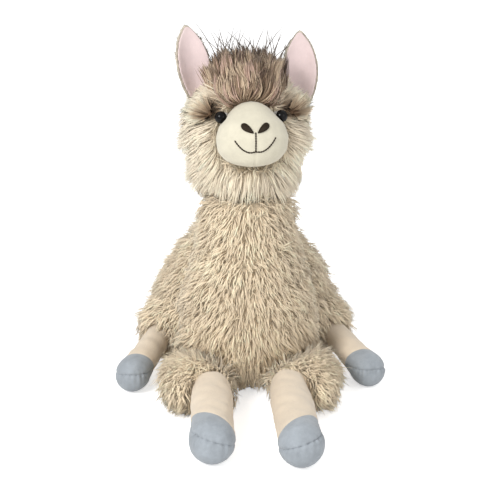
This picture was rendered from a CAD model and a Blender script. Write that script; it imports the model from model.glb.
"""The looks of the plush llama: faux fur over stuffed cloth forms, velour muzzle, ears, shins and
hooves, glossy safety eyes and embroidered nostrils and mouth."""

import math

import bmesh
import bpy
import numpy as np
from mathutils import Matrix, Vector
from mathutils.bvhtree import BVHTree
from mathutils.kdtree import KDTree


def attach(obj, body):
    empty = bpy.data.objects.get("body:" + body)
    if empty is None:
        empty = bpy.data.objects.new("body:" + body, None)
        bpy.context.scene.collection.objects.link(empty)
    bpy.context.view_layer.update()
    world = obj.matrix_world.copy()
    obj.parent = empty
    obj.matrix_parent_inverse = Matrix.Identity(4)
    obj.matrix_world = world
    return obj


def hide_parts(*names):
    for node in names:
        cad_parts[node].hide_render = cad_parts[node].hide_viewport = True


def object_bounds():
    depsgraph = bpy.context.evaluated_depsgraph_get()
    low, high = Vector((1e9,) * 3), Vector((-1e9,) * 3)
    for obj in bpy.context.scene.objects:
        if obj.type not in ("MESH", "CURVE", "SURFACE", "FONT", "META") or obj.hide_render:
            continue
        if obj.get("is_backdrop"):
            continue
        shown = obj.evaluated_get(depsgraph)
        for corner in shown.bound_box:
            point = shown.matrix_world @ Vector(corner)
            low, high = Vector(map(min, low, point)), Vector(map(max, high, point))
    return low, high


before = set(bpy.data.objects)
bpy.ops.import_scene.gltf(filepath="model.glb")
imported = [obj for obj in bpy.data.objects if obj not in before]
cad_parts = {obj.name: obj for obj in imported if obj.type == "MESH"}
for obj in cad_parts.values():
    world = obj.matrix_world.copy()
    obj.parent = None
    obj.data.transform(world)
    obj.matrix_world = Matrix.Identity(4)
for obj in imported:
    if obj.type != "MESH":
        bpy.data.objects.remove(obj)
cad_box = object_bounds()

# Camera
# It looks slightly down at the whole toy, from almost straight in front, with a long lens.

CAMERA_TURN, CAMERA_RISE = math.radians(-3.0), math.radians(20.0)
CAMERA_REACH = 1.813
CAMERA_TARGET = Vector((0.005, 0.0, 0.134))
CAMERA_LENS, SENSOR_WIDTH = 115.2, 36.0

scene = bpy.context.scene
camera = bpy.data.objects.new("camera", bpy.data.cameras.new("camera"))
scene.collection.objects.link(camera)
back = Vector((
    math.sin(CAMERA_TURN) * math.cos(CAMERA_RISE),
    -math.cos(CAMERA_TURN) * math.cos(CAMERA_RISE),
    math.sin(CAMERA_RISE),
))
camera.location = CAMERA_TARGET + back * CAMERA_REACH
camera.rotation_euler = back.to_track_quat("Z", "Y").to_euler()
camera.data.lens, camera.data.sensor_width = CAMERA_LENS, SENSOR_WIDTH
scene.camera = camera
scene.view_settings.view_transform = "Standard"


# Floor and light
# A white floor runs into a white surround. One broad lamp stands at the viewer's left, above the
# camera, a weaker one at the right, and the surround fills the rest.

FLOOR_RADIUS, FLOOR_WHITE = 5.0, 0.9
FLOOR_LIFT = 0.6  # the floor's own white, for the camera alone, that hides its edge
WORLD_STRENGTH = 0.64
KEY_PLACE, KEY_SIZE, KEY_POWER = Vector((-1.25, -1.4, 1.5)), 0.9, 34.0
FILL_PLACE, FILL_SIZE, FILL_POWER = Vector((1.3, -1.3, 0.9)), 1.1, 7.0
LAMP_TARGET = Vector((0.0, -0.02, 0.18))


def new_material(name):
    """A new material, with its node tree and its shader."""
    material = bpy.data.materials.new(name)
    material.use_nodes = True
    return material, material.node_tree, material.node_tree.nodes["Principled BSDF"]


def seen_directly(tree):
    """1 for rays from the camera, off gloss and through clear pieces, and 0 for light that
    reaches the toy."""
    path = tree.nodes.new("ShaderNodeLightPath")
    either = path.outputs["Is Camera Ray"]
    for name in ("Is Glossy Ray", "Is Transmission Ray"):
        most = tree.nodes.new("ShaderNodeMath")
        most.operation = "MAXIMUM"
        tree.links.new(either, most.inputs[0])
        tree.links.new(path.outputs[name], most.inputs[1])
        either = most.outputs[0]
    return either


world = bpy.data.worlds.new("white surround")
world.use_nodes = True
scene.world = world
background = world.node_tree.nodes["Background"]
strength = world.node_tree.nodes.new("ShaderNodeMapRange")
strength.inputs["To Min"].default_value = WORLD_STRENGTH
strength.inputs["To Max"].default_value = 1.0
world.node_tree.links.new(seen_directly(world.node_tree), strength.inputs["Value"])
world.node_tree.links.new(strength.outputs[0], background.inputs["Strength"])
background.inputs["Color"].default_value = (1.0, 1.0, 1.0, 1.0)

bm = bmesh.new()
bmesh.ops.create_circle(bm, cap_ends=True, segments=64, radius=FLOOR_RADIUS)
mesh = bpy.data.meshes.new("floor")
bm.to_mesh(mesh)
floor = bpy.data.objects.new("floor", mesh)
scene.collection.objects.link(floor)
floor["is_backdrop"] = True
paint, tree, matt = new_material("white floor")
matt.inputs["Base Color"].default_value = (FLOOR_WHITE, FLOOR_WHITE, FLOOR_WHITE, 1.0)
matt.inputs["Roughness"].default_value = 1.0
matt.inputs["Specular IOR Level"].default_value = 0.0
matt.inputs["Emission Color"].default_value = (1.0, 1.0, 1.0, 1.0)
lift = tree.nodes.new("ShaderNodeMath")
lift.operation = "MULTIPLY"
lift.inputs[1].default_value = FLOOR_LIFT
tree.links.new(seen_directly(tree), lift.inputs[0])
tree.links.new(lift.outputs[0], matt.inputs["Emission Strength"])
floor.data.materials.append(paint)

for name, place, size, power in (
    ("key lamp", KEY_PLACE, KEY_SIZE, KEY_POWER),
    ("fill lamp", FILL_PLACE, FILL_SIZE, FILL_POWER),
):
    lamp = bpy.data.objects.new(name, bpy.data.lights.new(name, "AREA"))
    lamp.data.energy, lamp.data.size = power, size
    lamp.location = place
    lamp.rotation_euler = (place - LAMP_TARGET).to_track_quat("Z", "Y").to_euler()
    scene.collection.objects.link(lamp)


# Torso
# A stuffed dome of knitted cloth with a long pile. The pile is sewn on as locks: each is a closed
# three-sided tuft, bent along the fall of the fur, and neighbours lean together at their tips.

SIDES = {"left": 1, "right": -1}  # the toy's own left is at +x
SAME_POINT = 1e-5  # points nearer than this are one
CLOTH_VOXEL = 0.0045
CLOTH_INSET = 0.0055  # from the middle of the CAD pile down to the cloth that carries it
CLOTH_SHADE = 0.55  # the cloth's shade beside the pile's
BODY_COAT = (0.93, 0.765, 0.55)
ROOT_SHADE, MIDDLE_SHADE, TIP_SHADE = 0.78, 0.9, 1.06
PATCH_TONE, TUFT_TONE, LOCK_TONE = 0.055, 0.07, 0.05  # how far a patch, tuft or lock may differ
RAY_WAY, MOST_CROSSINGS = Vector((0.31, 0.17, 0.93)).normalized(), 12
WAVE_COUNT, WAVE_SCALE = 6, 2.6
LOCK_TAPER, LOCK_DEPTH = (0.75, 0.9, 1.35), 0.55
UV_RIM, UV_SPAN, UV_BASE_LIFT = 0.14, 0.72, 0.12  # in shares of a lock's own square of the map
PILE_RINGS, PILE_SOFTNESS = 2, 0.55
PILE_SPARE = 0.001
ROOT_DEPTH = 0.001
ROOT_FLOOR, LOCK_FLOOR = 0.0015, 0.0012  # the lowest height of a root and of a lock's path
GATHER_POWER, RISE_POWER = 1.6, 1.9  # a lock joins its tuft late, and rises early
SWIRL, SWIRL_SIZE = 0.22, 0.035
RIDGE_Y, THIGH_TOP, BACK_SPREAD = 0.02, 0.09, 5.0
CHEST_EDGE_LENGTH, CHEST_EDGE_START, CHEST_EDGE_REACH = 0.25, 0.008, 0.018


def settle(ob):
    """Applies the modifiers."""
    ready = ob.evaluated_get(bpy.context.evaluated_depsgraph_get())
    mesh = bpy.data.meshes.new_from_object(ready)
    ob.modifiers.clear()
    ob.data = mesh


def stuffed(name, *nodes, voxel=CLOTH_VOXEL, rounds=24, inset=CLOTH_INSET, rounding=0):
    """The stuffed form of these CAD nodes: rounded, with even faces, drawn in by the inset and
    flat on the floor."""
    bm = bmesh.new()
    for node in nodes:
        bm.from_mesh(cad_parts[node].data)
    bmesh.ops.remove_doubles(bm, verts=bm.verts, dist=SAME_POINT)
    mesh = bpy.data.meshes.new(name)
    bm.to_mesh(mesh)
    ob = bpy.data.objects.new(name, mesh)
    scene.collection.objects.link(ob)
    if rounding:
        soft = ob.modifiers.new("rounding", "SUBSURF")
        soft.levels = soft.render_levels = rounding
    even = ob.modifiers.new("even faces", "REMESH")
    even.mode = "VOXEL"
    even.voxel_size = voxel
    settle(ob)
    bm = bmesh.new()
    bm.from_mesh(ob.data)
    for _ in range(rounds):
        bmesh.ops.smooth_vert(
            bm, verts=bm.verts, factor=0.5, use_axis_x=True, use_axis_y=True, use_axis_z=True
        )
    bm.normal_update()
    moves = [vert.normal * inset for vert in bm.verts]
    for vert, move in zip(bm.verts, moves):
        vert.co -= move
        vert.co.z = max(vert.co.z, 0.0)
    for face in bm.faces:
        face.smooth = True
    bm.to_mesh(ob.data)
    return ob


def surface(ob):
    """The piece's surface, to measure distances from."""
    bm = bmesh.new()
    bm.from_mesh(ob.data)
    return BVHTree.FromBMesh(bm)


def inside(tree, points):
    """Which points lie inside the closed surface: a ray from them crosses it an odd number of
    times."""
    found = []
    for point in points:
        spot, crossings = Vector(point), 0
        while spot is not None and crossings < MOST_CROSSINGS:
            spot = tree.ray_cast(spot, RAY_WAY)[0]
            if spot is not None:
                spot, crossings = spot + RAY_WAY * SAME_POINT, crossings + 1
        found.append(crossings % 2 == 1)
    return np.array(found, dtype=bool)


def apart(tree, points, spare):
    """Which points are outside the surface and at least the spare distance from it."""
    near = [tree.find_nearest(Vector(point))[3] for point in points]
    return (np.array(near) > spare) & ~inside(tree, points)


def unit(rows):
    """Each row at length one."""
    return rows / np.maximum(np.linalg.norm(rows, axis=-1, keepdims=True), 1e-9)


def ease(values, start, reach):
    """0 up to the start, 1 past the reach from there, and straight between them."""
    return np.clip((values - start) / reach, 0.0, 1.0)


def ripple(points, size, seed):
    """A smooth random field between about -1 and 1, with waves of that size."""
    draw = np.random.default_rng(seed)
    total = np.zeros(len(points))
    for _ in range(WAVE_COUNT):
        way = unit(draw.normal(size=3)) / size * draw.uniform(0.6, 1.6)
        total += np.sin(points @ way * 2 * math.pi + draw.uniform(0, 2 * math.pi))
    return total / WAVE_SCALE


def make_lock(rings):
    """One lock, a unit tall and a unit to each side: a three-sided tuft that ends in a point."""
    bm = bmesh.new()
    bmesh.ops.create_circle(bm, cap_ends=True, segments=3, radius=1.0)
    bmesh.ops.reverse_faces(bm, faces=bm.faces)
    top = bm.faces[:]
    for ring in range(rings):
        grown = bmesh.ops.extrude_face_region(bm, geom=top)["geom"]
        if ring > 0:
            bmesh.ops.delete(bm, geom=top, context="FACES_ONLY")
        verts = [item for item in grown if isinstance(item, bmesh.types.BMVert)]
        bmesh.ops.translate(bm, verts=verts, vec=(0, 0, 1 / rings))
        top = [item for item in grown if isinstance(item, bmesh.types.BMFace)]
    bmesh.ops.pointmerge(bm, verts=top[0].verts[:], merge_co=(0, 0, 1))
    bmesh.ops.triangulate(bm, faces=bm.faces)
    bmesh.ops.recalc_face_normals(bm, faces=bm.faces)
    bm.verts.ensure_lookup_table()
    for vert in bm.verts:
        taper = LOCK_TAPER[0] + LOCK_TAPER[1] * vert.co.z - LOCK_TAPER[2] * vert.co.z**2
        if vert.co.z < 0.999:
            vert.co.x *= taper
            vert.co.y *= taper * LOCK_DEPTH
    points = np.array([vert.co[:] for vert in bm.verts])
    corners = np.array([[vert.index for vert in face.verts] for face in bm.faces])
    return points, corners


def lay_pile(name, curves, across, width, colours, soft, softness, rings):
    """Builds the piece of pile from the path, side, width and colours of each lock. Its shading
    normals lean towards the soft ones by the softness."""
    points, corners = make_lock(rings)
    count = len(curves)
    stage = np.rint(points[:, 2] * rings).astype(int)
    along = unit(curves[:, -1] - curves[:, 0])
    across = unit(across - along * (across * along).sum(axis=1, keepdims=True))
    out = np.cross(along, across)
    places = curves[:, stage]
    places = places + across[:, None] * points[None, :, 0, None] * width[:, None, None]
    places = places + out[:, None] * points[None, :, 1, None] * width[:, None, None]
    faces = corners[None] + (np.arange(count) * len(points))[:, None, None]
    mesh = bpy.data.meshes.new(name)
    mesh.from_pydata(places.reshape(-1, 3).tolist(), [], faces.reshape(-1, 3).tolist())
    coat = mesh.color_attributes.new("coat", "FLOAT_COLOR", "POINT")
    shown = np.ones((count, len(points), 4))
    shown[..., :3] = colours[:, stage]
    coat.data.foreach_set("color", shown.ravel())
    turn = np.arctan2(points[:, 1], points[:, 0]) / (2 * math.pi) + 0.5
    turn[stage == rings] = 0.5
    base = (stage[corners] == 0).all(axis=1)
    spot = np.stack([turn[corners], points[corners, 2]], axis=-1)
    spot[base, 1, 1] += UV_BASE_LIFT
    rows = math.ceil(math.sqrt(count))
    cell = np.stack([np.arange(count) % rows, np.arange(count) // rows], axis=-1)
    laid = (cell[:, None, None] + UV_RIM + UV_SPAN * spot[None]) / rows
    mesh.uv_layers.new(name="OFBake").data.foreach_set("uv", laid.ravel())
    ob = bpy.data.objects.new(name, mesh)
    scene.collection.objects.link(ob)
    mesh.polygons.foreach_set("use_smooth", np.ones(len(mesh.polygons), dtype=bool))
    if softness > 0:
        own = np.empty(len(mesh.vertices) * 3)
        mesh.vertices.foreach_get("normal", own)
        own = own.reshape(count, len(points), 3)
        mixed = unit(own * (1 - softness) + soft[:, None] * softness)
        mesh.normals_split_custom_set_from_vertices(mixed.reshape(-1, 3).tolist())
    return ob


def rooted(cloth, count, seed, clear_of, keep=None):
    """Random roots on the cloth, the cloth's normals there, and the draw for what follows. No
    root lies inside a neighbour."""
    mesh = cloth.data
    mesh.calc_loop_triangles()
    places = np.empty(len(mesh.vertices) * 3)
    mesh.vertices.foreach_get("co", places)
    normals = np.empty(len(mesh.vertices) * 3)
    mesh.vertices.foreach_get("normal", normals)
    places, normals = places.reshape(-1, 3), normals.reshape(-1, 3)
    corners = np.empty(len(mesh.loop_triangles) * 3, dtype=int)
    mesh.loop_triangles.foreach_get("vertices", corners)
    corners = corners.reshape(-1, 3)
    a, b, c = (places[corners[:, k]] for k in range(3))
    area = np.linalg.norm(np.cross(b - a, c - a), axis=1)
    draw = np.random.default_rng(seed)
    roots, ups = np.zeros((0, 3)), np.zeros((0, 3))
    while len(roots) < count:
        pick = draw.choice(len(area), size=count, p=area / area.sum())
        share = np.sqrt(draw.random(count))[:, None]
        other = draw.random(count)[:, None]
        weights = np.concatenate([1 - share, share * (1 - other), share * other], axis=1)
        spots = (places[corners[pick]] * weights[..., None]).sum(axis=1)
        up = unit((normals[corners[pick]] * weights[..., None]).sum(axis=1))
        free = spots[:, 2] > ROOT_FLOOR
        if keep is not None:
            free &= keep(spots, up)
        spots, up = spots[free], up[free]
        free = np.ones(len(spots), dtype=bool)
        for tree, spare in clear_of:
            free[free] = apart(tree, spots[free], spare)
        roots = np.concatenate([roots, spots[free]])
        ups = np.concatenate([ups, up[free]])
    return roots[:count], ups[:count], draw


def clumped(curves, roots, tuft, draw, pull):
    """Draws each lock's tip towards the leader nearest its root. The tuft is the share of locks
    that lead, so a smaller one makes larger tufts."""
    leaders = draw.permutation(len(roots))[: max(int(len(roots) * tuft), 1)]
    finder = KDTree(len(leaders))
    for k, leader in enumerate(leaders):
        finder.insert(roots[leader], k)
    finder.balance()
    near = leaders[[finder.find(root)[1] for root in roots]]
    share = np.linspace(0, 1, curves.shape[1])[None, :, None] ** GATHER_POWER
    strength = (pull * draw.uniform(0.35, 1.0, len(roots)))[:, None, None]
    return curves + (curves[near] - curves) * share * strength, near


def grow_pile(
    name, cloth, fall, coat, count, seed, length=0.0128, rise=0.0085, width=0.0008, pull=0.75,
    tuft=0.28, stray=0.30, shades=(ROOT_SHADE, TIP_SHADE), trim=None, clear_of=(), keep=None,
):
    """Covers the cloth in locks that rise off it and lie along the fall, in the coat's colours. A
    trim shortens them."""
    roots, ups, draw = rooted(cloth, count, seed, clear_of, keep)
    way = fall(roots)
    way = unit(way - ups * (way * ups).sum(axis=1, keepdims=True))
    swirl = np.stack([ripple(roots, SWIRL_SIZE, seed + axis) for axis in range(3)], axis=1)
    way = unit(way + draw.normal(scale=stray, size=way.shape) + SWIRL * swirl)
    reach = length * draw.uniform(0.75, 1.2, count) * (1 + 0.12 * ripple(roots, 0.03, seed + 7))
    lift = rise * draw.uniform(0.7, 1.25, count) * (1 + 0.18 * ripple(roots, 0.022, seed + 8))
    if trim is not None:
        reach, lift = reach * trim(roots), lift * trim(roots)
    stage = np.linspace(0, 1, PILE_RINGS + 1)[None, :, None]
    curves = roots[:, None] - ups[:, None] * ROOT_DEPTH
    curves = curves + ups[:, None] * lift[:, None, None] * (1 - (1 - stage) ** RISE_POWER)
    curves = curves + way[:, None] * reach[:, None, None] * (0.45 * stage + 0.55 * stage**2)
    curves, near = clumped(curves, roots, tuft, draw, pull)
    curves[..., 2] = np.maximum(curves[..., 2], LOCK_FLOOR)
    across = np.cross(way, ups) + ups * draw.normal(scale=0.5, size=(count, 1))
    tone = 1 + PATCH_TONE * ripple(roots, 0.05, seed + 9)
    tone = tone + draw.normal(scale=TUFT_TONE, size=count)[near]
    tone = tone + draw.normal(scale=LOCK_TONE, size=count)
    shade = np.array((shades[0], MIDDLE_SHADE, shades[1]))
    base = np.stack([coat(curves[:, ring]) for ring in range(PILE_RINGS + 1)], axis=1)
    colours = np.clip(base * tone[:, None, None] * shade[None, :, None], 0.0, 0.95)
    girth = width * draw.uniform(0.7, 1.3, count)
    return lay_pile(name, curves, across, girth, colours, ups, PILE_SOFTNESS, PILE_RINGS)


def plain_coat(colour):
    """A coat of one colour."""
    def paint_locks(places):
        return np.tile(np.array(colour), (len(places), 1))
    return paint_locks


def on_place(tree, kind, scale):
    """A texture node of that kind and scale on the piece's own coordinates."""
    place = tree.nodes.new("ShaderNodeTexCoord")
    texture = tree.nodes.new(kind)
    texture.inputs["Scale"].default_value = scale
    tree.links.new(place.outputs["Object"], texture.inputs["Vector"])
    return texture


def ranged(tree, texture, low, high):
    """The texture's value, run from low to high."""
    level = tree.nodes.new("ShaderNodeMapRange")
    level.inputs["To Min"].default_value, level.inputs["To Max"].default_value = low, high
    tree.links.new(texture.outputs["Fac"], level.inputs["Value"])
    return level.outputs[0]


def toned(tree, texture, colour, dark, light, ends=(0.0, 1.0)):
    """Colours the shader from a dark share of the colour to a light one, by the texture."""
    tone = tree.nodes.new("ShaderNodeValToRGB")
    for element, place, share in zip(tone.color_ramp.elements, ends, (dark, light)):
        element.position = place
        element.color = (*(min(part * share, 0.95) for part in colour), 1.0)
    tree.links.new(texture.outputs["Fac"], tone.inputs["Fac"])
    tree.links.new(tone.outputs["Color"], tree.nodes["Principled BSDF"].inputs["Base Color"])


def bumped(tree, texture, height, strength=1.0):
    """Gives the shader a bump of that height from the texture."""
    bump = tree.nodes.new("ShaderNodeBump")
    bump.inputs["Distance"].default_value = height
    bump.inputs["Strength"].default_value = strength
    tree.links.new(texture.outputs["Fac"], bump.inputs["Height"])
    tree.links.new(bump.outputs["Normal"], tree.nodes["Principled BSDF"].inputs["Normal"])


def fibre_material(name, roughness=0.78, sheen=0.25):
    """Polyester pile: the locks' own colours, with a fine mottle."""
    material, tree, shader = new_material(name)
    coat = tree.nodes.new("ShaderNodeAttribute")
    coat.attribute_name = "coat"
    speck = on_place(tree, "ShaderNodeTexNoise", scale=420.0)
    tint = tree.nodes.new("ShaderNodeVectorMath")
    tint.operation = "SCALE"
    tree.links.new(coat.outputs["Color"], tint.inputs[0])
    tree.links.new(ranged(tree, speck, low=0.86, high=1.14), tint.inputs["Scale"])
    tree.links.new(tint.outputs[0], shader.inputs["Base Color"])
    shader.inputs["Roughness"].default_value = roughness
    shader.inputs["Specular IOR Level"].default_value = 0.25
    shader.inputs["Sheen Weight"].default_value = sheen
    shader.inputs["Sheen Roughness"].default_value = 0.6
    return material


def knit_material(name, colour):
    """The knitted ground under the pile, darker than the pile over it."""
    material, tree, shader = new_material(name)
    knit = on_place(tree, "ShaderNodeTexNoise", scale=260.0)
    knit.inputs["Detail"].default_value = 4.0
    dark, light = 0.7 * CLOTH_SHADE, 1.3 * CLOTH_SHADE
    toned(tree, knit, colour, dark, light, ends=(0.35, 0.68))
    bumped(tree, knit, height=0.002, strength=0.8)
    shader.inputs["Roughness"].default_value = 1.0
    shader.inputs["Specular IOR Level"].default_value = 0.1
    return material


def finished(ob, material, slot, *nodes):
    """Gives the piece its material, rides it on the toy and names what it stands for."""
    ob.data.materials.clear()
    ob.data.materials.append(material)
    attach(ob, "root")
    if nodes:
        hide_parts(*nodes)


def body_fall(roots):
    """From the ridge of the back down to all sides, and forwards along the thighs."""
    low = ease(THIGH_TOP - roots[:, 2], 0.0, 0.05)
    ahead = np.clip((RIDGE_Y - roots[:, 1]) * 12.0, 0.0, 1.0) * low
    backwards = (roots[:, 1] - RIDGE_Y) * BACK_SPREAD - ahead * 0.5
    return np.stack([roots[:, 0] * BACK_SPREAD, backwards, -np.ones(len(roots))], axis=1)


pile = fibre_material("sandy pile")
ground = knit_material("sandy ground cloth", BODY_COAT)
forms = {
    "body": stuffed("body_cloth", "torso", "hind_thigh_left", "hind_thigh_right"),
    "chest": stuffed("chest_cloth", "neck_and_chest"),
    "sleeve_left": stuffed("sleeve_cloth_left", "front_sleeve_left"),
    "sleeve_right": stuffed("sleeve_cloth_right", "front_sleeve_right"),
    "head": stuffed("head_cloth", "head"),
}
trees = {stem: surface(form) for stem, form in forms.items()}
finished(forms["body"], ground, "body_fur", "torso", "hind_thigh_left", "hind_thigh_right")


def clear(*stems):
    """The forms that a pile keeps out of, with the least distance from each."""
    return [(trees[stem], PILE_SPARE) for stem in stems]


def chest_trim(roots):
    """Shorter fur along the chest, so that its edge shows."""
    near = np.array([trees["chest"].find_nearest(Vector(root))[3] for root in roots])
    grown = ease(near, CHEST_EDGE_START, CHEST_EDGE_REACH)
    return CHEST_EDGE_LENGTH + (1 - CHEST_EDGE_LENGTH) * grown


for label, side in SIDES.items():
    half = grow_pile(
        "body_pile_" + label, forms["body"], body_fall, plain_coat(BODY_COAT), count=11200,
        seed=11, length=0.0140, width=0.0009, trim=chest_trim,
        clear_of=clear("chest", "head", "sleeve_left", "sleeve_right"),
        keep=lambda roots, ups: roots[:, 0] * side > 0.0,
    )
    finished(half, pile, "body_fur")


# Neck and chest
# One stuffed column in the same fur, sewn to the front of the torso. The fur parts below the throat
# and runs down and outwards.

def chest_fall(roots):
    """From the throat, down and apart."""
    return np.stack([roots[:, 0] * 9.0, np.zeros(len(roots)), -np.ones(len(roots))], axis=1)


finished(forms["chest"], ground, "body_fur", "neck_and_chest")
chest_pile = grow_pile(
    "chest_pile", forms["chest"], chest_fall, plain_coat(BODY_COAT), count=15200, seed=12,
    clear_of=clear("body", "head", "sleeve_left", "sleeve_right"),
)
finished(chest_pile, pile, "body_fur")


# Front sleeves and tail
# The upper front legs lie forwards under the chest, in the same fur, which hangs to the floor. The
# tail is a small stuffed tuft at the foot of the back.

def sleeve_fall(roots):
    """Forwards, outwards and down to the floor."""
    side = np.sign(roots[:, 0])
    return np.stack([side * 0.8, -np.ones(len(roots)), np.full(len(roots), -0.8)], axis=1)


for label in SIDES:
    stem = "sleeve_" + label
    finished(forms[stem], ground, "body_fur", "front_" + stem)
    sleeve_pile = grow_pile(
        "sleeve_pile_" + label, forms[stem], sleeve_fall, plain_coat(BODY_COAT), count=5000,
        seed=13, length=0.0155, rise=0.0095, clear_of=clear("chest"),
    )
    finished(sleeve_pile, pile, "body_fur")

tail = stuffed("tail_cloth", "tail", voxel=0.003, rounds=8, inset=0.003)
finished(tail, ground, "body_fur", "tail")
tail_pile = grow_pile(
    "tail_pile", tail, body_fall, plain_coat(BODY_COAT), count=1000, seed=15, rise=0.006,
    clear_of=clear("body"),
)
finished(tail_pile, pile, "body_fur")


# Muzzle
# A firmly stuffed nose of cream velour, in two halves with a seam down the middle under the mouth.
# It is sewn into the face along the edge of the fur.

NECK_SEAM = Vector((0.0, -0.031, 0.213))
HEAD_TILT, HEAD_TURN, HEAD_ROLL = math.radians(15.0), math.radians(4.0), math.radians(0.5)
MUZZLE_VOXEL = 0.0015
SEAM_DEPTH, SEAM_WIDTH, SEAM_FADE = 0.0008, 0.0012, 0.004
MOUTH_HEIGHT, MOUTH_RISE, MOUTH_ROUND, MOUTH_HALF_WIDTH = 0.0451, 0.0145, 2.6, 0.0215
MOUTH_SKEW = 0.0012  # the mouth's left end is sewn a little higher
LIP_PEAK = 0.0012

# the head's own frame: it starts at the neck's seam, and -y is the way the face looks
head_frame = (
    Matrix.Translation(NECK_SEAM)
    @ Matrix.Rotation(HEAD_TURN, 4, "Z")
    @ Matrix.Rotation(HEAD_TILT, 4, "X").inverted()
    @ Matrix.Rotation(HEAD_ROLL, 4, "Y")
)
to_back = head_frame.to_3x3() @ Vector((0, 1, 0))


def velour_material(name, colour, nap=0.06):
    """Short-pile velour: a brushed mottle as strong as the nap, a fine bump and a soft sheen."""
    material, tree, shader = new_material(name)
    brushed = on_place(tree, "ShaderNodeTexNoise", scale=70.0)
    brushed.inputs["Detail"].default_value = 7.0
    brushed.inputs["Roughness"].default_value = 0.7
    toned(tree, brushed, colour, dark=1 - nap, light=1 + nap, ends=(0.32, 0.68))
    fine = on_place(tree, "ShaderNodeTexNoise", scale=1100.0)
    bumped(tree, fine, height=0.0004, strength=0.7)
    shader.inputs["Roughness"].default_value = 0.9
    shader.inputs["Specular IOR Level"].default_value = 0.15
    shader.inputs["Sheen Weight"].default_value = 0.3
    shader.inputs["Sheen Roughness"].default_value = 0.5
    return material


def in_head(point):
    """The point in the head's own frame."""
    return head_frame.inverted() @ Vector(point)


cream = velour_material("cream velour", (0.655, 0.612, 0.488))
muzzle = stuffed("muzzle_velour", "muzzle", voxel=MUZZLE_VOXEL, rounds=16, inset=0.0)
muzzle.data.update()
for vert in muzzle.data.vertices:
    local = in_head(vert.co)
    low = min(max((MOUTH_HEIGHT + SEAM_FADE - local.z) / SEAM_FADE, 0.0), 1.0)
    groove = math.exp(-((local.x / SEAM_WIDTH) ** 2)) * low
    vert.co -= vert.normal * SEAM_DEPTH * groove
finished(muzzle, cream, "cream_velour", "muzzle")
muzzle_tree = surface(muzzle)


def on_muzzle(x, z, proud):
    """The place proud of the muzzle's front at x and z of the head's frame."""
    start = head_frame @ Vector((x, -0.2, z))
    point, normal, _, _ = muzzle_tree.ray_cast(start, to_back)
    return point + normal * proud


# Nostrils and mouth
# Satin stitch in dark brown thread. The mouth is one line of short stitches, and another runs up
# from it between the nostrils.

NOSTRIL_LENGTH, NOSTRIL_WIDTH, NOSTRIL_PROUD = 0.0150, 0.0094, 0.0011
NOSTRIL_INNER_X, NOSTRIL_INNER_Z, NOSTRIL_SLOPE = 0.0022, 0.0655, math.radians(38.0)
NOSTRIL_POINT = 0.30  # the width at the inner end, as a share of the whole
DOME_STEPS, DOME_DEPTH = (0.12, 0.22, 0.30, 0.36), 0.6
STITCH_LENGTH, STITCH_RADIUS, STITCH_OVERLAP, STITCH_PROUD = 0.0026, 0.00090, 0.56, 0.0002
NOSE_FOOT = 0.0663


def thread_material(name, colour, pitch):
    """Rayon thread: fine ridges across the stitch and a low shine."""
    material, tree, shader = new_material(name)
    ridges = on_place(tree, "ShaderNodeTexWave", scale=pitch)
    ridges.inputs["Distortion"].default_value = 1.5
    toned(tree, ridges, colour, dark=0.6, light=1.5)
    bumped(tree, ridges, height=0.0003)
    shader.inputs["Roughness"].default_value = 0.5
    shader.inputs["Specular IOR Level"].default_value = 0.15
    return material


brown_thread = thread_material("brown thread", (0.028, 0.018, 0.010), pitch=330.0)


def as_piece(name, bm):
    """A smooth object of the mesh, at the origin."""
    for face in bm.faces:
        face.smooth = True
    mesh = bpy.data.meshes.new(name)
    bm.to_mesh(mesh)
    ob = bpy.data.objects.new(name, mesh)
    scene.collection.objects.link(ob)
    return ob


for label, side in SIDES.items():
    bm = bmesh.new()
    bmesh.ops.create_circle(bm, cap_ends=True, segments=36, radius=1.0)
    dome = bm.faces[:]
    for share in DOME_STEPS:
        bmesh.ops.inset_region(bm, faces=dome, thickness=share * 0.55, use_even_offset=False)
        bmesh.ops.translate(bm, verts=dome[0].verts[:], vec=(0, 0, 1.0 - share))
    bmesh.ops.poke(bm, faces=dome)
    top = max(vert.co.z for vert in bm.verts)
    rim = [edge for edge in bm.edges if edge.is_boundary]
    wall = bmesh.ops.extrude_edge_only(bm, edges=rim)["geom"]
    for vert in (item for item in wall if isinstance(item, bmesh.types.BMVert)):
        vert.co.z = -DOME_DEPTH * top
    bmesh.ops.holes_fill(bm, edges=[edge for edge in bm.edges if edge.is_boundary])
    for vert in bm.verts:
        # a teardrop: pointed at its inner end, at x = -1, and round at its outer end
        along, across, high = vert.co.x, vert.co.y, vert.co.z / top
        wide = NOSTRIL_POINT + (1 - NOSTRIL_POINT) * (0.5 + 0.5 * along) ** 0.8
        across *= wide * NOSTRIL_WIDTH / 2
        out = (along + 1) / 2 * NOSTRIL_LENGTH
        x = NOSTRIL_INNER_X + out * math.cos(NOSTRIL_SLOPE) - across * math.sin(NOSTRIL_SLOPE)
        z = NOSTRIL_INNER_Z + out * math.sin(NOSTRIL_SLOPE) + across * math.cos(NOSTRIL_SLOPE)
        vert.co = on_muzzle(side * x, z, NOSTRIL_PROUD * high)
    bmesh.ops.recalc_face_normals(bm, faces=bm.faces)
    nostril = as_piece("nostril_stitching_" + label, bm)
    finished(nostril, brown_thread, "brown_thread", "nostril_" + label)


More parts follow.
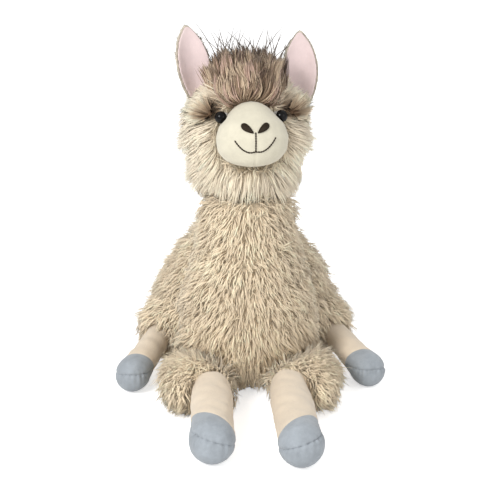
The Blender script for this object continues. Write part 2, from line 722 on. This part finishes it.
def stitches(bm, path):
    """Lays short stitches end to end along the path, each a thin bead sunk at both ends."""
    lengths = np.concatenate([[0], np.cumsum([(b - a).length for a, b in zip(path, path[1:])])])
    count = round(lengths[-1] / STITCH_LENGTH)
    along = np.linspace(0, lengths[-1], count + 1)
    spots = [np.interp(along, lengths, [spot[k] for spot in path]) for k in range(3)]
    spots = np.stack(spots, axis=1)
    for start, end in zip(spots[:-1], spots[1:]):
        start, end = Vector(start), Vector(end)
        turn = (end - start).to_track_quat("Z", "Y").to_matrix().to_4x4()
        half = (end - start).length * STITCH_OVERLAP
        size = Matrix.Diagonal((STITCH_RADIUS, STITCH_RADIUS, half, 1.0))
        bmesh.ops.create_uvsphere(
            bm, u_segments=10, v_segments=8, radius=1.0,
            matrix=Matrix.Translation((start + end) / 2) @ turn @ size,
        )


bm = bmesh.new()
mouth_line = []
for share in np.linspace(-1, 1, 33):
    z = MOUTH_HEIGHT + MOUTH_RISE * abs(share) ** MOUTH_ROUND + MOUTH_SKEW * share
    z += LIP_PEAK * math.exp(-((share / 0.16) ** 2))
    mouth_line.append(on_muzzle(share * MOUTH_HALF_WIDTH, z, STITCH_PROUD))
stitches(bm, mouth_line)
nose_line = np.linspace(MOUTH_HEIGHT + LIP_PEAK, NOSE_FOOT, 12)
stitches(bm, [on_muzzle(0.0, z, STITCH_PROUD) for z in nose_line])
mouth = as_piece("mouth_stitching_line", bm)
finished(mouth, brown_thread, "brown_thread", "mouth_stitching")


# Eyes
# Polished black safety eyes. The shank of each passes through the face into a moulded washer, which
# the head hides.

WASHER_GREY = (0.55, 0.52, 0.48)


def polished(name, colour):
    """Polished plastic, with faint uneven patches in its gloss."""
    material, tree, shader = new_material(name)
    faint = on_place(tree, "ShaderNodeTexNoise", scale=180.0)
    tree.links.new(ranged(tree, faint, low=0.03, high=0.07), shader.inputs["Roughness"])
    shader.inputs["Base Color"].default_value = (*colour, 1.0)
    shader.inputs["Specular IOR Level"].default_value = 0.15
    return material


eye_black = polished("polished black", (0.003, 0.0025, 0.0025))
eyes = {}
for label in SIDES:
    bm = bmesh.new()
    bm.from_mesh(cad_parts["eye_" + label].data)
    bmesh.ops.remove_doubles(bm, verts=bm.verts, dist=SAME_POINT)
    eyes[label] = as_piece("safety_eye_" + label, bm)
    smooth = eyes[label].modifiers.new("round", "SUBSURF")
    smooth.levels = smooth.render_levels = 2
    finished(eyes[label], eye_black, "eye_plastic", "eye_" + label)

moulded, tree, shader = new_material("moulded washer")
shader.inputs["Base Color"].default_value = (*WASHER_GREY, 1.0)
shader.inputs["Roughness"].default_value = 0.5
for label in SIDES:
    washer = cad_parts["eye_washer_" + label]
    washer.data.materials.clear()
    washer.data.materials.append(moulded)


# Head
# A stuffed ball of the same fur in a paler shade. Its fur falls away from the muzzle all round, and
# darkens to brown beside the eyes.

RUFF_COAT = (0.95, 0.82, 0.63)
BROW_COAT, BROW_FADE = (0.068, 0.036, 0.018), (0.46, 0.31, 0.185)
DARK_REACH, FADE_REACH = 0.012, 0.039
DARK_SHAPE = np.array([0.8, 0.8, 1.35])  # the dark fur reaches less far up and down
INNER_EDGE, INNER_FADE = 0.002, 4.0  # past these edges from the eye it fades this much faster
LOWER_EDGE, LOWER_FADE = -0.003, 3.0
DARK_STREAKS = 0.35
NOSE_SPOT = Vector((0.0, -0.094, 0.0645))
EYE_FUR_LENGTH, EYE_FUR_START, EYE_FUR_REACH = 0.32, 0.011, 0.020
EYE_SPARE, MUZZLE_SPARE = 0.003, 0.0012


def eye_front(label):
    """The foremost point of the eye's dome."""
    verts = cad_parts["eye_" + label].data.vertices
    return np.array(min((vert.co for vert in verts), key=lambda place: in_head(place).y))


eye_spots = {label: eye_front(label) for label in SIDES}


def head_fall(roots):
    """Away from the muzzle, and downwards."""
    return unit(roots - np.array(head_frame @ NOSE_SPOT)) + np.array([0.0, 0.0, -0.40])


def head_coat(places):
    """The ruff's pale shade, and dark brown above and beside each eye, in streaks that fade."""
    shown = np.tile(np.array(RUFF_COAT), (len(places), 1))
    for label, side in SIDES.items():
        away = places - eye_spots[label]
        inwards, below = INNER_EDGE - away[:, 0] * side, LOWER_EDGE - away[:, 2]
        reach = np.linalg.norm(away * DARK_SHAPE, axis=1)
        reach += INNER_FADE * np.maximum(inwards, 0.0)
        reach += LOWER_FADE * np.maximum(below, 0.0)
        reach += 0.002 * ripple(places, 0.012, 41) + 0.005 * ripple(unit(away), 0.25, 43)
        pale = ease(reach, DARK_REACH, FADE_REACH - DARK_REACH)[:, None]
        near = np.array(BROW_COAT) * (1 - pale) ** 2 + np.array(BROW_FADE) * 2 * pale * (1 - pale)
        near = near * (1 + DARK_STREAKS * ripple(unit(away), 0.11, 44))[:, None] + shown * pale**2
        shown = np.where(pale < 1, near, shown)
    return shown


def eye_trim(roots):
    """Shorter fur round the eyes, so that they show."""
    away = [np.linalg.norm(roots - spot, axis=1) for spot in eye_spots.values()]
    grown = ease(np.minimum(*away), EYE_FUR_START, EYE_FUR_REACH)
    return EYE_FUR_LENGTH + (1 - EYE_FUR_LENGTH) * grown


finished(forms["head"], ground, "ruff_fur", "head")
eye_trees = [surface(eye) for eye in eyes.values()]
head_pile = grow_pile(
    "head_pile", forms["head"], head_fall, head_coat, count=16200, seed=16, length=0.024,
    pull=0.55, tuft=0.25, stray=0.09, shades=(0.85, TIP_SHADE), trim=eye_trim,
    clear_of=[(muzzle_tree, MUZZLE_SPARE)] + [(eye, EYE_SPARE) for eye in eye_trees]
    + clear("body", "chest"),
)
finished(head_pile, pile, "ruff_fur")


# Brow patches
# A small pad of long dark brown fur on the outer side of each eye, sewn over the face. Its fur runs
# away from the eye and fades into the ruff.

BROW_STREAK, BROW_UNEVEN = 0.16, 0.3
BROW_EYE_SPARE = 0.0012


def brow_fall(label):
    """Away from the eye, and a little backwards."""
    def fall(roots):
        return unit(roots - eye_spots[label]) + np.array([0.0, 0.25, 0.05])
    return fall


def brow_trim(label):
    """Uneven lengths, in streaks that start at the eye."""
    def trim(roots):
        return 0.95 + BROW_UNEVEN * ripple(unit(roots - eye_spots[label]), BROW_STREAK, 45)
    return trim


brow_ground = knit_material("brow ground cloth", (0.20, 0.12, 0.07))
brow_fibre = fibre_material("brow pile", roughness=0.8, sheen=0.0)
for label in SIDES:
    patch = stuffed(
        "brow_cloth_" + label, "eye_patch_" + label, voxel=0.0022, rounds=8, inset=0.0025
    )
    finished(patch, brow_ground, "brow_fur", "eye_patch_" + label)
    patch_pile = grow_pile(
        "brow_pile_" + label, patch, brow_fall(label), head_coat, count=1900, seed=17,
        length=0.021, rise=0.0026, width=0.0005, pull=0.7, stray=0.12, shades=(0.85, 1.15),
        trim=brow_trim(label),
        clear_of=[(muzzle_tree, PILE_SPARE)] + [(eye, BROW_EYE_SPARE) for eye in eye_trees],
    )
    finished(patch_pile, brow_fibre, "brow_fur")


# Ears
# Two leaves sewn together round their edge: pale pink velour in front, and short fur behind, which
# shows as a thin rim.

EAR_COAT = (0.86, 0.73, 0.55)
EAR_TAPER, EAR_TIP_LENGTH = 0.022, 0.4
EAR_BEHIND = 0.72  # fur grows only where the cloth faces this far backwards
LINING_SPARE = 0.0012

pink = velour_material("pink velour", (0.72, 0.585, 0.57), nap=0.05)
ear_ground = knit_material("ear ground cloth", (0.95, 0.85, 0.7))


def ear_fall(roots):
    """Up the ear, to its tip."""
    return np.tile(np.array([0.0, 0.1, 1.0]), (len(roots), 1))


def ear_trim(roots):
    """Shorter fur towards the tip."""
    return np.clip((roots[:, 2].max() - roots[:, 2]) / EAR_TAPER, EAR_TIP_LENGTH, 1.0)


for label in SIDES:
    lining = stuffed(
        "ear_velour_" + label, "ear_lining_" + label, voxel=0.0009, rounds=8, inset=-0.0003,
        rounding=2,
    )
    finished(lining, pink, "pink_velour", "ear_lining_" + label)
    leaf = stuffed(
        "ear_cloth_" + label, "ear_back_" + label, voxel=0.0017, rounds=6, inset=0.0003, rounding=2
    )
    finished(leaf, ear_ground, "ruff_fur", "ear_back_" + label)
    lining_tree = surface(lining)
    ear_pile = grow_pile(
        "ear_pile_" + label, leaf, ear_fall, plain_coat(EAR_COAT), count=1700, seed=18,
        length=0.0075, rise=0.0013, width=0.00085, pull=0.4, trim=ear_trim,
        clear_of=[(lining_tree, LINING_SPARE)] + clear("head"),
        keep=lambda roots, ups: ups @ np.array(to_back) > EAR_BEHIND,
    )
    finished(ear_pile, pile, "ruff_fur")


# Forelock
# A cap of long loose hair in mixed browns, combed up from the brow. It stands up at the crown and
# ends in thin dark tips.

CAP_MIDDLE, CAP_RADII = np.array([0.0, -0.012, 0.108]), np.array([0.044, 0.052, 0.027])
CAP_INSET = 0.003
HAIR_COUNT, HAIR_RINGS, HAIR_WIDTH = 3600, 4, 0.00074
HAIR_SHADES = (
    (0.60, 0.46, 0.32), (0.27, 0.185, 0.12), (0.13, 0.082, 0.055), (0.52, 0.36, 0.28),
)
HAIR_SHARES = (0.36, 0.30, 0.17, 0.17)
HAIR_TONES = (1.15, 1.05, 1.0, 0.72)
HAIR_SOFTNESS, HAIR_SPARE = 0.35, 0.0005
CROWN_Y, CROWN_BLEND = 0.004, 0.006  # hair in front of here stands up, and falls back behind
HAIR_UP, HAIR_BACK = (0.38, 0.10, 1.0), (0.5, 1.0, -0.55)
FREE_FROM, FREE_GAIN, FREE_MOST = 0.25, 1.3, 0.85  # hair stands free where the cap faces upwards
CAP_SPARE = 0.002
TUFT_SHARE, TUFT_PULL, TUFT_SHADES = 0.045, 0.85, 0.72
WISP_COUNT, WISP_WIDTH = 110, 0.00056
WISP_FOOT, WISP_DARK = (0.30, 0.22, 0.15), (0.055, 0.036, 0.027)

bm = bmesh.new()
bmesh.ops.create_icosphere(bm, subdivisions=4, radius=1.0)
bm.transform(
    head_frame @ Matrix.Translation(CAP_MIDDLE) @ Matrix.Diagonal((*(CAP_RADII - CAP_INSET), 1.0))
)
cap = as_piece("forelock_cloth", bm)
hair_ground = knit_material("forelock ground cloth", (0.36, 0.26, 0.18))
finished(cap, hair_ground, "forelock_hair", "forelock")


def leaning(side, way):
    """The way for each strand, its x turned out to the strand's own side."""
    return np.concatenate([side * way[0], *(np.full_like(side, part) for part in way[1:])], axis=1)


def combed(start, length, lift, sway):
    """The paths of strands that follow the cap up from the brow and stand off it at the crown."""
    spot, path = start, [start]
    step = (length / HAIR_RINGS)[:, None]
    side = start[:, :1] / CAP_RADII[0]
    ahead = 1 / (1 + np.exp((start[:, 1:2] - CROWN_Y) / CROWN_BLEND))
    up = leaning(side, HAIR_UP)
    aim = up * ahead + leaning(side, HAIR_BACK) * (1 - ahead)
    for _ in range(HAIR_RINGS):
        normal = unit((spot - CAP_MIDDLE) / CAP_RADII**2)
        flat = unit(aim - normal * (aim * normal).sum(axis=1, keepdims=True))
        free = np.clip((normal[:, 2:] - FREE_FROM) * FREE_GAIN, 0, FREE_MOST) * ahead
        way = unit(flat * (1 - free) + up * free + lift[:, None] * normal + sway)
        spot = spot + way * step
        reach = (spot - CAP_MIDDLE) / (CAP_RADII + CAP_SPARE)
        reach = np.linalg.norm(reach, axis=1, keepdims=True)
        spot = np.where(reach < 1, CAP_MIDDLE + (spot - CAP_MIDDLE) / np.maximum(reach, 0.2), spot)
        path.append(spot)
    return np.stack(path, axis=1)


def to_world(points):
    """Points of the head's frame, placed."""
    turn = np.array(head_frame)
    return points @ turn[:3, :3].T + turn[:3, 3]


hair_clear_of = clear("head") + [(muzzle_tree, HAIR_SPARE)]
roots, ups, draw = rooted(cap, HAIR_COUNT, 19, hair_clear_of)
start = (roots - np.array(head_frame)[:3, 3]) @ np.array(head_frame)[:3, :3]
length = draw.uniform(0.020, 0.031, HAIR_COUNT) * (1 + 0.24 * ripple(roots, 0.017, 21))
sway = draw.normal(scale=0.13, size=(HAIR_COUNT, 3))
sway[:, 0] += 0.26 * ripple(roots, 0.021, 22)
sway[:, 2] += 0.12 * ripple(roots, 0.019, 23)
curves = to_world(combed(start, length, draw.uniform(0.05, 0.30, HAIR_COUNT), sway))
curves, near = clumped(curves, roots, TUFT_SHARE, draw, TUFT_PULL)
kinds = draw.choice(4, size=HAIR_COUNT, p=HAIR_SHARES)
kinds = np.where(draw.random(HAIR_COUNT) < TUFT_SHADES, kinds[near], kinds)
base = np.array(HAIR_SHADES)[kinds] * draw.uniform(0.85, 1.15, (HAIR_COUNT, 1))
shade = np.interp(np.linspace(0, 1, HAIR_RINGS + 1), (0, 0.35, 0.8, 1), HAIR_TONES)
colours = base[:, None] * shade[None, :, None]
across = np.cross(curves[:, 1] - curves[:, 0], ups)
hair = lay_pile(
    "forelock_pile", curves, across, HAIR_WIDTH * draw.uniform(0.6, 1.3, HAIR_COUNT), colours, ups,
    HAIR_SOFTNESS, HAIR_RINGS,
)
hair_fibre = fibre_material("forelock hair", roughness=0.55, sheen=0.1)
finished(hair, hair_fibre, "forelock_hair")

draw = np.random.default_rng(20)
start = np.stack([
    draw.uniform(-0.032, 0.034, WISP_COUNT), draw.uniform(-0.040, 0.006, WISP_COUNT),
    np.full(WISP_COUNT, 0.128),
], axis=1)
lean = np.stack([
    start[:, 0] * 5 + draw.normal(scale=0.34, size=WISP_COUNT),
    draw.normal(scale=0.25, size=WISP_COUNT) - 0.1, np.ones(WISP_COUNT),
], axis=1)
bend = draw.normal(scale=0.30, size=(WISP_COUNT, 3)) * np.array([1.0, 1.0, 0.2])
reach = draw.uniform(0.022, 0.058, WISP_COUNT)[:, None, None]
stage = np.linspace(0, 1, HAIR_RINGS + 1)[None, :, None]
curves = start[:, None] + (unit(lean)[:, None] * stage + bend[:, None] * stage**2) * reach
curves = to_world(curves)
tint = np.interp(stage, (0, 0.35, 1), (1, 0.3, 0))
colours = np.array(WISP_FOOT) * tint + np.array(WISP_DARK) * (1 - tint)
colours = np.repeat(colours, WISP_COUNT, axis=0)
forward = np.tile(np.array([0.0, -1.0, 0.3]), (WISP_COUNT, 1))
across = np.cross(curves[:, -1] - curves[:, 0], forward)
wisps = lay_pile(
    "forelock_wisps", curves, across, np.full(WISP_COUNT, WISP_WIDTH), colours, forward, 0.0,
    HAIR_RINGS,
)
finished(wisps, hair_fibre, "forelock_hair")


# Shins, hooves and soles
# Stuffed velour tubes that end each leg: a cream shin, and a blue grey hoof sewn on at its seam.
# The sole is a piece of its own, set in with small gathers.

SHIN_CREAM, HOOF_BLUE = (0.72, 0.61, 0.475), (0.325, 0.355, 0.385)
LEG_VOXEL = 0.0019
CUT_SLACK = 1e-6
GROOVE_DEPTH, GROOVE_REACH = 0.0013, 0.0011
HOOF_GROOVE = 0.6  # the groove at the hoof's seam, as a share of that at the sole's
GATHER_DEPTH, GATHER_REACH, GATHER_START, GATHER_COUNT = 0.0019, 0.008, 0.006, 26
GATHER_ABOVE = 0.35  # the gathers above the sole's seam, as a share of those below it
CREASE_DEPTH, CREASE_SIZE, CREASE_FADE, CREASE_LEAST = 0.0006, 0.026, 0.012, 0.15

shin_velour = velour_material("shin velour", SHIN_CREAM, nap=0.05)
hoof_velour = velour_material("hoof velour", HOOF_BLUE, nap=0.16)


def flat_end(node, towards):
    """The middle and the normal of the node's largest flat face on that side."""
    ends = {}
    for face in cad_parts[node].data.polygons:
        if face.normal.dot(towards) > 0.6:
            key = tuple(round(part, 2) for part in face.normal)
            area, middle, normal = ends.get(key, (0.0, Vector(), face.normal.copy()))
            ends[key] = (area + face.area, middle + face.center * face.area, normal)
    area, middle, normal = max(ends.values(), key=lambda end: end[0])
    return middle / area, normal


def parted(name, bm, *cuts):
    """The part of the stuffed form behind each cut, closed where it is cut."""
    bm = bm.copy()
    for middle, normal in cuts:
        geom = bm.verts[:] + bm.edges[:] + bm.faces[:]
        bmesh.ops.bisect_plane(
            bm, geom=geom, dist=CUT_SLACK, plane_co=middle, plane_no=normal, clear_outer=True
        )
        rim = [edge for edge in bm.edges if edge.is_boundary]
        bmesh.ops.edgeloop_fill(bm, edges=rim)
        for edge in rim:
            edge.smooth = False
    bmesh.ops.triangulate(bm, faces=[face for face in bm.faces if len(face.verts) > 4])
    bmesh.ops.recalc_face_normals(bm, faces=bm.faces)
    return as_piece(name, bm)


def sewn(leg, hoof_seam, sole_seam):
    """Draws the leg in along its seams, with small gathers below the sole's seam and soft creases
    in the cloth."""
    bm = bmesh.new()
    bm.from_mesh(leg.data)
    for middle, normal in (hoof_seam, sole_seam):
        geom = bm.verts[:] + bm.edges[:] + bm.faces[:]
        bmesh.ops.bisect_plane(bm, geom=geom, dist=SAME_POINT, plane_co=middle, plane_no=normal)
    bm.normal_update()
    moves = []
    creases = ripple(np.array([vert.co[:] for vert in bm.verts]), CREASE_SIZE, 31)
    for vert, crease in zip(bm.verts, creases):
        past_hoof = (vert.co - hoof_seam[0]).dot(hoof_seam[1])
        above_sole = (vert.co - sole_seam[0]).dot(sole_seam[1])
        groove = math.exp(-((past_hoof / GROOVE_REACH) ** 2))
        on_shin = min(max(-past_hoof / CREASE_FADE, CREASE_LEAST), 1.0)
        depth = GROOVE_DEPTH * groove * HOOF_GROOVE + CREASE_DEPTH * crease * on_shin
        if past_hoof > 0:
            depth += GROOVE_DEPTH * math.exp(-((above_sole / GROOVE_REACH) ** 2))
            turn = math.atan2(vert.co.y - sole_seam[0].y, vert.co.x - sole_seam[0].x)
            fold = 0.5 + 0.5 * math.sin(GATHER_COUNT * turn + 3 * math.sin(2.3 * turn))
            share = 1.0 if above_sole < 0 else GATHER_ABOVE
            fade = math.exp(-abs(above_sole) / GATHER_REACH) * share
            depth += GATHER_DEPTH * fold * fade * min(past_hoof / GATHER_START, 1.0)
        moves.append(vert.normal * depth)
    for vert, move in zip(bm.verts, moves):
        vert.co -= move
        vert.co.z = max(vert.co.z, 0.0)
    return bm


for stem in ("front", "hind"):
    for label in SIDES:
        nodes = [f"{stem}_{part}_{label}" for part in ("shin", "hoof", "hoof_sole")]
        leg = stuffed(f"{stem}_leg_{label}", *nodes, voxel=LEG_VOXEL, rounds=20, inset=0.0)
        hoof_seam = flat_end(nodes[0], Vector((0.0, -1.0, 0.0)))
        sole_seam = flat_end(nodes[2], Vector((0.0, 0.0, 1.0)))
        shape = sewn(leg, hoof_seam, sole_seam)
        past_hoof, above_sole = (hoof_seam[0], -hoof_seam[1]), (sole_seam[0], -sole_seam[1])
        shin = parted(f"{stem}_shin_velour_{label}", shape, hoof_seam)
        hoof = parted(f"{stem}_hoof_velour_{label}", shape, past_hoof, above_sole)
        sole = parted(f"{stem}_sole_velour_{label}", shape, past_hoof, sole_seam)
        bpy.data.objects.remove(leg)
        finished(shin, shin_velour, "cream_velour", nodes[0])
        finished(hoof, hoof_velour, "blue_velour", nodes[1])
        finished(sole, hoof_velour, "blue_velour", nodes[2])


size = {"cad": [list(corner) for corner in cad_box], "visual": [list(c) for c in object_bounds()]}
